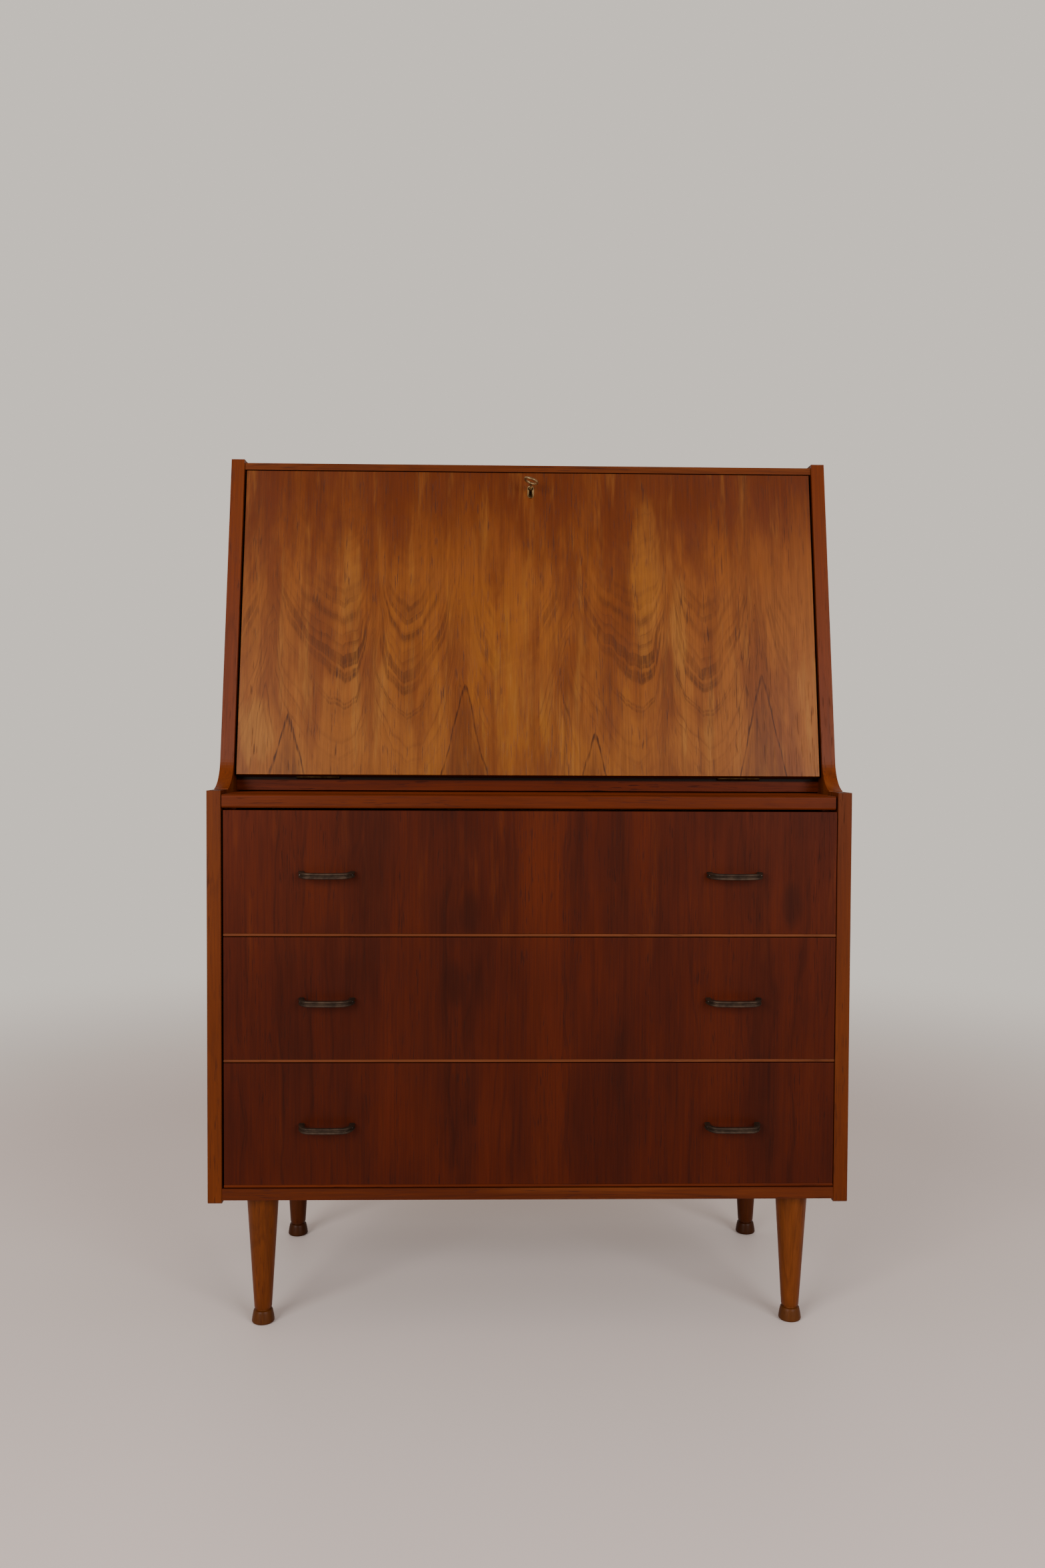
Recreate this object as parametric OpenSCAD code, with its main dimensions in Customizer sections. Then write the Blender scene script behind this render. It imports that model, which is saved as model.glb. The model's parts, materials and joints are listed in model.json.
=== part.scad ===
// Secretary desk on turned legs: a sloping fall front between shaped cheeks, a writing slide and
// three drawers. Millimetres, +Z up, X from left to right, the front faces -Y. Modules draw along the
// desk's own depth axis, where y = 0 is the plane of the front edges, and desk() moves them to the
// shared frame.

/* [Overall] */
// Width over the side panels
body_w = 870; // [850:1:890]
// Depth from the front edges to the back
body_d = 405; // [400:1:420]
// Thickness of the sides and cheeks
side_t = 19; // [18:1:20]
// Thickness of the solid lippings on the sides and cheeks
lipping_t = 5; // [4:0.5:6]

/* [Legs] */
// Height of the case's underside above the floor
leg_h = 186; // [170:1:200]
// Distance from the middle of the desk to a leg's axis
leg_x = 368.5; // [350:0.5:375]
// Distance from the front or back edge to a leg's axis
leg_inset = 45; // [40:1:50]
// Radius at the top of a leg
leg_top_r = 22.3; // [20:0.1:24]
// Radius just above the shoe
leg_neck_r = 12.2; // [11.8:0.1:13]
// Widest radius of the shoe
shoe_r = 15.6; // [14.5:0.1:16]
// Height of the shoe
shoe_h = 18; // [16:0.5:20]

/* [Lower case] */
// Thickness of the bottom panel
bottom_t = 16; // [15:0.5:18]
// How far the sides hang below the bottom panel
side_drop = 4.5; // [3.5:0.5:6]
// Distance from one drawer front to the next
drawer_pitch = 170.8; // [165:0.1:180]
// Gap below each drawer front
drawer_gap = 1; // [1:0.1:1.5]
// Gap between the top drawer front and the slide
slide_gap = 2.9; // [2:0.1:3.5]
// Thickness of the writing slide
slide_t = 18.5; // [17:0.5:19]

/* [Drawers] */
// Mean gap between a drawer and each side panel
drawer_side_gap = 2; // [1.7:0.1:2.2]
// How far the drawers sit towards the right in their opening
drawer_shift = 1; // [0:0.1:1]
// Height of the solid lipping under a drawer front
drawer_lip_h = 3.8; // [3:0.1:5]
// Length of a drawer box behind its front
drawer_box_l = 365; // [340:1:366]

/* [Pulls] */
// Distance from the middle of a drawer to the middle of a pull
pull_x = 275; // [240:1:300]
// Length of a pull
pull_l = 76; // [74:1:84]
// How far a pull stands out from the drawer front
pull_reach = 24.5; // [22:0.5:28]
// Height of a pull's bar
pull_h = 9.6; // [9:0.1:12]

/* [Fall front] */
// Lean of the flap and of the cheeks' front edges, in degrees from upright
lean = 10.9; // [10:0.1:12]
// Distance from the front edges back to the hinge axis
hinge_y = 106; // [104:1:110]
// Length of the flap up its slope
flap_l = 450; // [440:1:455]
// Width of the flap
flap_w = 825; // [823:1:826]
// Thickness of the flap
flap_t = 20; // [20:0.1:20.4]
// Radius of the curve at the foot of each cheek
cheek_r = 50; // [45:1:52]

/* [Lock] */
// Offset of the lock to the right of the flap's middle
lock_x = 2; // [-3:1:3]
// Distance from the flap's top edge down to the key's axis
lock_down = 24; // [23:1:26]
// Distance that the bolt travels
bolt_travel = 7; // [5:0.5:7]
// Turn of the bow's plane from the level, in degrees
bow_turn = 20; // [0:1:45]

/* [Hidden] */
$fn = 48;
eps = 0.5;

// Levels of the lower case
side_bottom = leg_h - side_drop;
bottom_top = leg_h + bottom_t;
first_gap = 1.5;
drawer_h = drawer_pitch - drawer_gap;
drawers_top = bottom_top + first_gap + 3 * drawer_pitch - drawer_gap;
slide_z = drawers_top + slide_gap;
floor_z = slide_z + slide_t + 1.7;
floor_t = 19;
side_top = floor_z + 3;
hinge_z = floor_z + floor_t;

// Widths and depths inside the case
in_x = body_w / 2 - side_t;
back_t = 6;
back_rabbet = 8;
back_y = body_d - back_t;
edge_recess = 0.5;
pull_front = edge_recess - pull_reach;
desk_y = -(body_d + pull_front) / 2;

// Levels of the upper case
lip_gap = 1;
lip_h = 10;
top_t = 20;
flap_top_z = hinge_z + flap_l * cos(lean) + flap_t * sin(lean);
lip_z = ceil(flap_top_z) + lip_gap;
top_z = lip_z + lip_h;
cheek_rise = 5;
cheek_top = top_z + cheek_rise;
flap_recess = 2.3;
back_seam = floor_z + 9.5;
back_top = top_z - 8;

// Drawer construction
front_t = 19;
box_t = 12;
box_low = 6;
box_h = 140;
groove_low = 12;
bottom_ply = 5;
tongue = 5.5;
runner_w = 6;
runner_h = 10;
runner_slack = 0.3;
runner_mid = box_low + box_h / 2;
box_y = edge_recess + front_t;

// Slide
slide_l = 340;
slide_edge_w = 22;
slide_side_gap = 2.1;
slide_shift = -0.9;
slide_r = 3;
bearer_w = 16;
bearer_h = 12;

// Pulls
pull_foot = 9;
pull_bar = 5;
pull_r = 11;
pull_mid = drawer_h / 2 - 1;
pull_screw_r = 2;

// Hinges
hinge_x = 300;
hinge_l = 60;
leaf_t = 2;
leaf_w = 30;
knuckle_r = 3;
knuckle_end = 18;
knuckle_gap = 0.4;
pin_r = 1.25;
pin_slack = 0.05;

// Lock
lock_s = flap_l - lock_down;
case_w = 60;
case_deep = 12;
case_h = 42;
plate_t = 1.5;
chamber_r = 9;
bolt_w = 24;
bolt_t = 6;
bolt_h = 12;
bolt_y = 6;
bolt_slack = 0.3;
shank_r = 2.2;
keyhole_r = 2.7;
keyhole_drop = 12;
escutcheon_r = 4.9;
escutcheon_drop = 10.2;
escutcheon_t = 3;
bow_r = 8.6;
bow_wire_r = 1.5;
bow_out = 29;

// Fasteners
dowel_r = 4;
dowel_in_side = 12;
dowel_in_panel = 18;
fit_slack = 0.05;
leg_bolt_r = 4;
screw_r = 1.6;
screw_head_r = 3.2;
screw_l = 20;

// Inside the upper case
shelf_z = 965;
shelf_t = 12;
shelf_front = 225;
divider_x = 140;
divider_t = 10;
divider_front = 235;

// Colours
teak = [0.52, 0.27, 0.11];
dark_teak = [0.36, 0.14, 0.07];
lipping_wood = [0.60, 0.33, 0.14];
leg_wood = [0.66, 0.38, 0.18];
ply = [0.72, 0.56, 0.38];
bronze = [0.20, 0.16, 0.12];
brass = [0.62, 0.50, 0.28];
steel = [0.6, 0.6, 0.6];

CARCASS = ["side_left", "side_right", "side_lippings", "cheek_left", "cheek_right", "cheek_lippings",
    "bottom_panel", "upper_floor", "top_board", "back_lower", "back_upper", "back_screws",
    "carcass_dowels", "drawer_runners", "slide_bearers", "pigeonhole_shelf", "pigeonhole_dividers",
    "strike_plate", "hinge_leaves_floor", "hinge_pins", "leg_front_left", "leg_front_right",
    "leg_back_left", "leg_back_right", "leg_bolts"];
FLAP = ["flap_panel", "flap_lippings", "hinge_leaves_flap", "lock_case", "escutcheon", "key",
    "lock_bolt"];
SLIDE = ["slide_board", "slide_edge"];
DRAWER = ["front", "lipping", "sides", "back", "bottom", "pull_left", "pull_right", "pull_screws"];

// ---- Frames and small helpers ----

// Moves the desk's depth axis so that the whole object is centred on the origin
module desk() {
    translate([0, desk_y, 0]) children();
}

// The flap's frame: x across, y into the desk from the flap's inner face, z up the slope
module flap_frame() {
    desk() translate([0, hinge_y, hinge_z]) rotate([-lean, 0, 0]) children();
}

// The key's frame: z points straight out of the flap's outer face along the key's axis
module key_frame() {
    flap_frame() translate([lock_x, 0, lock_s]) rotate([90, 0, 0]) children();
}

// A box given by its limits on each axis
module slab(x0, x1, y0, y1, z0, z1) {
    translate([x0, y0, z0]) cube([x1 - x0, y1 - y0, z1 - z0]);
}

// The right-hand piece as drawn, or its mirror image
module on_side(side) {
    if (side < 0) mirror([1, 0, 0]) children();
    else children();
}

// Extrudes a (y, z) outline along x
module along_x(x0, x1) {
    translate([x0, 0, 0]) rotate([90, 0, 90]) linear_extrude(x1 - x0) children();
}

// A cylinder along x from x0 to x1
module rod_x(x0, x1, r) {
    translate([x0, 0, 0]) rotate([0, 90, 0]) cylinder(h = x1 - x0, r = r);
}

function arc(cx, cy, r, a0, a1, steps) =
    [for (i = [0:steps]) let (a = a0 + (a1 - a0) * i / steps) [cx + r * cos(a), cy + r * sin(a)]];

// ---- Dowels and screws, drawn grown by a slack to cut their own holes ----

module dowel(slack) {
    rod_x(in_x - dowel_in_panel - slack, in_x + dowel_in_side + slack, dowel_r + slack);
}

module bottom_dowels(slack) {
    for (y = [60:100:360]) translate([0, y, leg_h + bottom_t / 2]) dowel(slack);
}

module floor_dowels(slack) {
    for (y = [150:100:350]) translate([0, y, floor_z + 12]) dowel(slack);
}

module top_dowels(slack) {
    for (y = [230:60:350]) translate([0, y, top_z - top_t / 2]) dowel(slack);
}

module cheek_dowels(slack) {
    for (y = [110:120:350])
        translate([in_x + side_t / 2, y, side_top - 15 - slack])
            cylinder(h = 30 + 2 * slack, r = dowel_r + slack);
}

// A countersunk screw that enters from the back
module back_screw(slack) {
    rotate([90, 0, 0]) {
        cylinder(h = screw_l + slack, r = screw_r + slack);
        cylinder(h = 2.5, r1 = screw_head_r + slack, r2 = screw_r + slack);
    }
}

// Places the back's screws along one level, or up the sides
module screws_at(xs, zs, slack) {
    for (x = xs, z = zs) translate([x, body_d, z]) back_screw(slack);
}

row_x = [-300, 0, 300];
side_screw_x = [-(in_x + back_rabbet / 2), in_x + back_rabbet / 2];
lower_screw_z = [300, 600];
upper_screw_z = [880, 1080];

module bottom_screws(slack) {
    screws_at(row_x, [leg_h + bottom_t / 2 + 3], slack);
}

module floor_screws(slack) {
    screws_at(row_x, [back_seam - 5, back_seam + 5], slack);
}

module top_screws(slack) {
    screws_at(row_x, [top_z - 15], slack);
}

// ---- Lower case ----

module lower_side(side) {
    color(dark_teak) desk() on_side(side) difference() {
        slab(in_x, in_x + side_t, lipping_t, body_d, side_bottom, side_top);
        slab(in_x - eps, in_x + back_rabbet, back_y, body_d + eps, leg_h + 4, side_top + eps);
        bottom_dowels(fit_slack);
        cheek_dowels(fit_slack);
        screws_at(side_screw_x, lower_screw_z, fit_slack);
    }
}

// The lipping's lower front corner is rounded
module side_lippings() {
    corner_r = 3;
    color(lipping_wood) desk() for (side = [-1, 1]) on_side(side)
        along_x(in_x, in_x + side_t) polygon(concat(
            arc(corner_r, side_bottom + corner_r, corner_r, 180, 270, 8),
            [[lipping_t, side_bottom], [lipping_t, side_top], [0, side_top]]));
}

module bottom_panel() {
    color(dark_teak) desk() difference() {
        slab(-in_x, in_x, edge_recess, back_y, leg_h, bottom_top);
        for (side = [-1, 1]) on_side(side) bottom_dowels(fit_slack);
        at_legs() leg_bolt(fit_slack);
        bottom_screws(fit_slack);
    }
}

module back_lower() {
    color(ply) desk() difference() {
        slab(-in_x - back_rabbet, in_x + back_rabbet, back_y, body_d, leg_h + 4, back_seam - 0.5);
        bottom_screws(fit_slack);
        screws_at(row_x, [back_seam - 5], fit_slack);
        screws_at(side_screw_x, lower_screw_z, fit_slack);
    }
}

module back_upper() {
    color(ply) desk() difference() {
        slab(-in_x - back_rabbet, in_x + back_rabbet, back_y, body_d, back_seam + 0.5, back_top);
        top_screws(fit_slack);
        screws_at(row_x, [back_seam + 5], fit_slack);
        screws_at(side_screw_x, upper_screw_z, fit_slack);
    }
}

module back_screws() {
    color(steel) desk() {
        bottom_screws(0);
        floor_screws(0);
        top_screws(0);
        screws_at(side_screw_x, concat(lower_screw_z, upper_screw_z), 0);
    }
}

module carcass_dowels() {
    color(ply) desk() for (side = [-1, 1]) on_side(side) {
        bottom_dowels(0);
        floor_dowels(0);
        top_dowels(0);
        cheek_dowels(0);
    }
}

// One strip for each drawer on each side panel
module drawer_runners() {
    front = box_y + 2;
    color(lipping_wood) desk() for (side = [-1, 1], n = [1:3]) on_side(side)
        slab(in_x - runner_w, in_x, front, back_y, drawer_z(n) + runner_mid - runner_h / 2,
            drawer_z(n) + runner_mid + runner_h / 2);
}

module slide_bearers() {
    color(lipping_wood) desk() for (side = [-1, 1]) on_side(side)
        slab(in_x - bearer_w, in_x, box_y + 4, back_y, slide_z - 0.3 - bearer_h, slide_z - 0.3);
}

// ---- Legs ----

module at_legs() {
    for (x = [-leg_x, leg_x], y = [leg_inset, body_d - leg_inset]) translate([x, y, leg_h]) children();
}

module leg_bolt(slack) {
    translate([0, 0, -40 - slack]) cylinder(h = 52 + 2 * slack, r = leg_bolt_r + slack);
}

module leg_bolts() {
    color(steel) desk() at_legs() leg_bolt(0);
}

// A turned taper over a necked, flared shoe with a rounded lower edge
module leg(x, y) {
    groove_r = leg_neck_r - 1.2;
    groove_h = 3.5;
    edge_r = 3;
    color(leg_wood) desk() translate([x, y, 0]) difference() {
        rotate_extrude() polygon(concat(
            [[0, 0]],
            arc(shoe_r - edge_r, edge_r, edge_r, 270, 360, 6),
            [[leg_neck_r + 0.6, shoe_h], [groove_r, shoe_h + 0.6], [groove_r, shoe_h + groove_h - 0.6],
                [leg_neck_r, shoe_h + groove_h], [leg_top_r, leg_h], [0, leg_h]]));
        translate([0, 0, leg_h]) leg_bolt(fit_slack);
    }
}

// ---- Upper case ----

// Depth of the cheek's front edge at height z, set back from it by inset
function edge_y(z, inset) =
    hinge_y - flap_t / cos(lean) - flap_recess + (z - hinge_z) * tan(lean) + inset / cos(lean);

curve_z = side_top + cheek_r;
curve_y = edge_y(curve_z, 0) - cheek_r / cos(lean);

// The cheek's shaped front from its top down to the side panel, set back by inset; the outer
// outline stops at a toe that is 1 mm high
function cheek_front(inset) =
    let (r = cheek_r + inset, toe = inset > 0 ? 0 : 1, last = -asin((cheek_r - toe) / r))
    concat([[edge_y(cheek_top, inset), cheek_top]], arc(curve_y, curve_z, r, -lean, last, 14));

function reversed(points) = [for (i = [len(points) - 1:-1:0]) points[i]];

module cheek(side) {
    color(teak) desk() on_side(side) difference() {
        along_x(in_x, in_x + side_t) polygon(concat(cheek_front(lipping_t),
            [[body_d, side_top], [body_d, cheek_top]]));
        slab(in_x - eps, in_x + back_rabbet, back_y, body_d + eps, side_top - eps, back_top);
        floor_dowels(fit_slack);
        top_dowels(fit_slack);
        cheek_dowels(fit_slack);
        screws_at(side_screw_x, upper_screw_z, fit_slack);
    }
}

module cheek_lippings() {
    front = cheek_front(0);
    toe_y = front[len(front) - 1][0];
    color(lipping_wood) desk() for (side = [-1, 1]) on_side(side)
        along_x(in_x, in_x + side_t)
            polygon(concat(front, [[toe_y, side_top]], reversed(cheek_front(lipping_t))));
}

module upper_floor() {
    color(dark_teak) desk() difference() {
        slab(-in_x, in_x, hinge_y + 1, back_y, floor_z, hinge_z);
        translate([0, hinge_y, hinge_z]) at_hinges() {
            rod_x(-hinge_l / 2 - knuckle_gap, hinge_l / 2 + knuckle_gap, knuckle_r + knuckle_gap);
            slab(-hinge_l / 2, hinge_l / 2, 0, leaf_w, -leaf_t, eps);
        }
        for (side = [-1, 1]) on_side(side) floor_dowels(fit_slack);
        floor_screws(fit_slack);
    }
}

// The front lip covers the flap's top edge, and the face behind it is the flap's stop
module top_board() {
    stop = 0.4;
    lip_front = edge_y(lip_z, 0) + flap_recess;
    stop_y = hinge_y + (lip_z - hinge_z) * tan(lean) + stop;
    top_low = top_z - top_t;
    color(teak) difference() {
        desk() along_x(-in_x, in_x) polygon([
            [lip_front, lip_z], [stop_y, lip_z], [stop_y - (lip_z - top_low) * tan(lean), top_low],
            [body_d, top_low], [body_d, top_z], [lip_front + lip_h * tan(lean), top_z]]);
        desk() slab(-in_x - eps, in_x + eps, back_y, body_d + eps, top_low - eps, back_top);
        desk() for (side = [-1, 1]) on_side(side) top_dowels(fit_slack);
        desk() top_screws(fit_slack);
        desk() strike_blank();
        bolt_path(flap_l, flap_l + bolt_travel + 2);
    }
}

module pigeonhole_shelf() {
    color(teak) desk() slab(-in_x, in_x, shelf_front, back_y, shelf_z, shelf_z + shelf_t);
}

module pigeonhole_dividers() {
    color(teak) desk() for (x = [-divider_x, divider_x])
        slab(x - divider_t / 2, x + divider_t / 2, divider_front, back_y, hinge_z, shelf_z);
}

// ---- Hinges ----

module at_hinges() {
    for (x = [-hinge_x, hinge_x]) translate([x, 0, 0]) children();
}

// The leaf lies from y = 0 to leaf_w just under z = 0; the ends of the knuckle or its middle are solid
module hinge_leaf(ends) {
    middle = hinge_l / 2 - knuckle_end;
    difference() {
        union() {
            slab(-hinge_l / 2, hinge_l / 2, 0, leaf_w, -leaf_t, 0);
            rod_x(-hinge_l / 2, hinge_l / 2, knuckle_r);
        }
        if (ends) rod_x(-middle, middle, knuckle_r + knuckle_gap);
        else for (side = [-1, 1]) on_side(side)
            rod_x(middle - knuckle_gap, hinge_l / 2 + eps, knuckle_r + knuckle_gap);
        rod_x(-hinge_l, hinge_l, pin_r + pin_slack);
    }
}

module hinge_leaves_floor() {
    color(brass) desk() translate([0, hinge_y, hinge_z]) at_hinges() hinge_leaf(true);
}

module hinge_leaves_flap() {
    color(brass) flap_frame() at_hinges() rotate([90, 0, 0]) mirror([0, 0, 1]) hinge_leaf(false);
}

module hinge_pins() {
    color(steel) desk() translate([0, hinge_y, hinge_z]) at_hinges()
        rod_x(-hinge_l / 2, hinge_l / 2, pin_r);
}

// ---- Flap ----

flap_edge = 4;
flap_skin = 1;

// Everything that is let into the flap, drawn in the flap's frame
module flap_cuts() {
    at_hinges() {
        rod_x(-hinge_l / 2 - knuckle_gap, hinge_l / 2 + knuckle_gap, knuckle_r + knuckle_gap);
        slab(-hinge_l / 2, hinge_l / 2, -leaf_t, eps, 0, leaf_w);
    }
    translate([lock_x, 0, 0]) {
        slab(-case_w / 2, case_w / 2, -case_deep, eps, flap_l - case_h, flap_l - plate_t);
        slab(-case_w / 2, case_w / 2, -case_deep - 2, eps, flap_l - plate_t, flap_l + eps);
    }
    translate([lock_x, 0, lock_s]) rotate([90, 0, 0]) {
        linear_extrude(flap_t + eps) keyhole();
        translate([0, 0, flap_t - escutcheon_t]) linear_extrude(escutcheon_t + eps) escutcheon_outline();
    }
}

// The veneered faces run over the lippings, which lie in a channel all round the edge
module flap_panel() {
    half = flap_w / 2;
    color(teak) flap_frame() difference() {
        slab(-half, half, -flap_t, 0, 0, flap_l);
        difference() {
            slab(-half - eps, half + eps, flap_skin - flap_t, -flap_skin, -eps, flap_l + eps);
            slab(flap_edge - half, half - flap_edge, -flap_t, 0, flap_edge, flap_l - flap_edge);
        }
        flap_cuts();
    }
}

module flap_lippings() {
    half = flap_w / 2;
    inner = flap_skin - flap_t;
    color(lipping_wood) flap_frame() difference() {
        union() {
            slab(-half, half, inner, -flap_skin, 0, flap_edge);
            slab(-half, half, inner, -flap_skin, flap_l - flap_edge, flap_l);
            for (side = [-1, 1]) on_side(side)
                slab(half - flap_edge, half, inner, -flap_skin, flap_edge, flap_l - flap_edge);
        }
        flap_cuts();
    }
}

// ---- Lock ----

module keyhole() {
    circle(r = keyhole_r);
    translate([-1.5, -keyhole_drop]) square([3, keyhole_drop]);
}

module escutcheon_outline() {
    circle(r = escutcheon_r);
    translate([-escutcheon_r, -escutcheon_drop]) square([2 * escutcheon_r, escutcheon_drop]);
    translate([0, -escutcheon_drop]) circle(r = escutcheon_r);
}

module escutcheon() {
    color(brass) key_frame() translate([0, 0, flap_t - escutcheon_t])
        linear_extrude(escutcheon_t + 0.3) difference() {
            escutcheon_outline();
            keyhole();
        }
}

// The space that the bolt sweeps between two levels up the slope
module bolt_path(s0, s1) {
    flap_frame() translate([lock_x, 0, 0])
        slab(-bolt_w / 2 - bolt_slack, bolt_w / 2 + bolt_slack, -bolt_y - bolt_t / 2 - bolt_slack,
            -bolt_y + bolt_t / 2 + bolt_slack, s0, s1);
}

module lock_case() {
    half = case_w / 2;
    color(brass) difference() {
        flap_frame() translate([lock_x, 0, 0]) {
            slab(-half, half, -case_deep, 0, flap_l - case_h, flap_l - plate_t);
            slab(-half, half, -case_deep - 2, 0, flap_l - plate_t, flap_l);
        }
        bolt_path(flap_l - bolt_h - 1.5, flap_l + eps);
        key_frame() translate([0, 0, 2.5]) cylinder(h = 8.5, r = chamber_r);
        key_frame() translate([0, 0, 5]) linear_extrude(case_deep) keyhole();
    }
}

module lock_bolt() {
    color(brass) flap_frame() translate([lock_x, 0, flap_l - 0.5])
        slab(-bolt_w / 2, bolt_w / 2, -bolt_y - bolt_t / 2, -bolt_y + bolt_t / 2, -bolt_h, 0);
}

// A ring bow in the plane of the bit, a collar against the escutcheon and a bit in the lock's chamber
module key() {
    collar_z = flap_t + 0.8;
    bow_z = flap_t + bow_out;
    color(brass) key_frame() rotate([0, 0, -bow_turn]) {
        translate([0, 0, 3.5]) cylinder(h = bow_z - bow_r - 3.5, r = shank_r);
        translate([0, 0, collar_z]) cylinder(h = 1.6, r = 3.4);
        translate([shank_r - 0.4, -1, 4]) cube([5.4, 2, 6]);
        translate([0, 0, bow_z]) rotate([90, 0, 0]) rotate_extrude()
            translate([bow_r, 0]) circle(r = bow_wire_r, $fn = 24);
    }
}

// The plate is let into the lip over the flap
module strike_blank() {
    plate_y = hinge_y + (lip_z - hinge_z) * tan(lean) - 14.5;
    translate([lock_x, 0, 0]) slab(-22, 22, plate_y, plate_y + 14, lip_z - eps, lip_z + plate_t);
}

module strike_plate() {
    color(brass) difference() {
        intersection() {
            desk() strike_blank();
            desk() slab(-50, 50, 0, body_d, lip_z, top_z);
        }
        bolt_path(flap_l - 5, flap_l + bolt_travel + 2);
    }
}

// ---- Writing slide ----

slide_x0 = slide_side_gap + slide_shift - in_x;
slide_x1 = in_x - slide_side_gap + slide_shift;

module slide_board() {
    color(dark_teak) desk() slab(slide_x0, slide_x1, slide_edge_w, slide_l, slide_z, slide_z + slide_t);
}

// The front edge is solid, with both arrises rounded
module slide_edge() {
    low = slide_z + slide_r;
    high = slide_z + slide_t - slide_r;
    color(lipping_wood) desk() along_x(slide_x0, slide_x1) polygon(concat(
        arc(slide_r, high, slide_r, 90, 180, 6), arc(slide_r, low, slide_r, 180, 270, 6),
        [[slide_edge_w, slide_z], [slide_edge_w, slide_z + slide_t]]));
}

// ---- Drawers, numbered from the top ----

function drawer_z(n) = bottom_top + first_gap + (3 - n) * drawer_pitch;
drawer_half = in_x - drawer_side_gap;
box_half = drawer_half - 0.5;
box_in = box_half - box_t;
box_back = box_y + drawer_box_l;

module drawer(n) {
    desk() translate([drawer_shift, 0, drawer_z(n)]) children();
}

module drawer_bottom_blank() {
    slab(-box_in - tongue, box_in + tongue, box_y - tongue, box_back, groove_low, groove_low + bottom_ply);
}

module at_pull_screws() {
    for (pull = [-pull_x, pull_x], foot = [-1, 1])
        translate([pull + foot * (pull_l - pull_foot) / 2, 0, pull_mid]) rotate([90, 0, 0]) children();
}

module drawer_front(n) {
    color(dark_teak) drawer(n) difference() {
        slab(-drawer_half, drawer_half, edge_recess, box_y, drawer_lip_h, drawer_h);
        slab(-box_in - 6, box_in + 6, box_y - 6, box_y + eps, groove_low, groove_low + bottom_ply);
        at_pull_screws() translate([0, 0, -30]) cylinder(h = 40, r = pull_screw_r + fit_slack);
    }
}

module drawer_lipping(n) {
    color(lipping_wood) drawer(n) slab(-drawer_half, drawer_half, edge_recess, box_y, 0, drawer_lip_h);
}

// Each side has a groove for the runner outside and one for the bottom inside
module drawer_sides(n) {
    low = runner_mid - runner_h / 2 - runner_slack;
    high = runner_mid + runner_h / 2 + runner_slack;
    color(ply) drawer(n) for (side = [-1, 1]) on_side(side) difference() {
        slab(box_in, box_half, box_y, box_back, box_low, box_low + box_h);
        slab(box_half - runner_w - 0.5, box_half + eps, box_y - eps, box_back + eps, low, high);
        slab(box_in - eps, box_in + 6, box_y - eps, box_back + eps, groove_low, groove_low + bottom_ply);
    }
}

module drawer_back(n) {
    color(ply) drawer(n)
        slab(-box_in, box_in, box_back - box_t, box_back, groove_low + bottom_ply, box_low + box_h - 6);
}

module drawer_bottom(n) {
    color(ply) drawer(n) drawer_bottom_blank();
}

// Half of the pull's plan outline from its foot to its middle, set in by inset
function pull_outer(inset) =
    concat([[pull_l / 2 - inset, 0]],
        arc(pull_l / 2 - 1.5 - pull_r, pull_r - pull_reach, pull_r - inset, 0, -90, 10));

function pull_inner() =
    let (r = 8, x = pull_l / 2 - pull_foot - r, y = pull_bar - pull_reach + r)
    concat(arc(x, y, r, -90, 0, 8), [[pull_l / 2 - pull_foot, 0]]);

function both_halves(half) = concat(half, reversed([for (p = half) [-p[0], p[1]]]));

module pull_plan() {
    difference() {
        polygon(both_halves(pull_outer(0)));
        polygon(both_halves(reversed(concat(pull_inner(), [[pull_l / 2 - pull_foot, eps]]))));
    }
}

// A bowed bar whose feet stand on the drawer front; a groove along its face leaves two ridges
module pull(n, side) {
    groove_h = 2.2;
    groove_d = 1.2;
    color(bronze) drawer(n) difference() {
        translate([side * pull_x, edge_recess, pull_mid - pull_h / 2]) difference() {
            linear_extrude(pull_h) pull_plan();
            translate([0, 0, (pull_h - groove_h) / 2]) linear_extrude(groove_h) difference() {
                translate([-pull_l, -2 * pull_reach]) square([2 * pull_l, 2 * pull_reach - 2]);
                polygon(both_halves(pull_outer(groove_d)));
            }
        }
        at_pull_screws() translate([0, 0, -1]) cylinder(h = 11, r = pull_screw_r + fit_slack);
    }
}

module pull_screws(n) {
    color(steel) drawer(n) at_pull_screws() {
        translate([0, 0, -box_y]) cylinder(h = box_y + 8, r = pull_screw_r);
        translate([0, 0, -box_y - 2.5]) cylinder(h = 2.5, r = 4);
    }
}

// ---- The nodes ----

lower_side(-1);  // side_left
lower_side(1);  // side_right
side_lippings();
cheek(-1);  // cheek_left
cheek(1);  // cheek_right
cheek_lippings();
bottom_panel();
upper_floor();
top_board();
back_lower();
back_upper();
back_screws();
carcass_dowels();
drawer_runners();
slide_bearers();
pigeonhole_shelf();
pigeonhole_dividers();
strike_plate();
hinge_leaves_floor();
hinge_pins();
leg(-leg_x, leg_inset);  // leg_front_left
leg(leg_x, leg_inset);  // leg_front_right
leg(-leg_x, body_d - leg_inset);  // leg_back_left
leg(leg_x, body_d - leg_inset);  // leg_back_right
leg_bolts();
flap_panel();
flap_lippings();
hinge_leaves_flap();
lock_case();
escutcheon();
key();
lock_bolt();
slide_board();
slide_edge();
for (n = [1:3]) {
    drawer_front(n);
    drawer_lipping(n);
    drawer_sides(n);
    drawer_back(n);
    drawer_bottom(n);
    pull(n, -1);
    pull(n, 1);
    pull_screws(n);
}
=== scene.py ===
"""Looks of the secretary desk: procedural teak, bronze pulls, a brass lock, a pale floor and soft light."""

import json
import math

import bmesh
import bpy
from mathutils import Matrix, Vector


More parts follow.
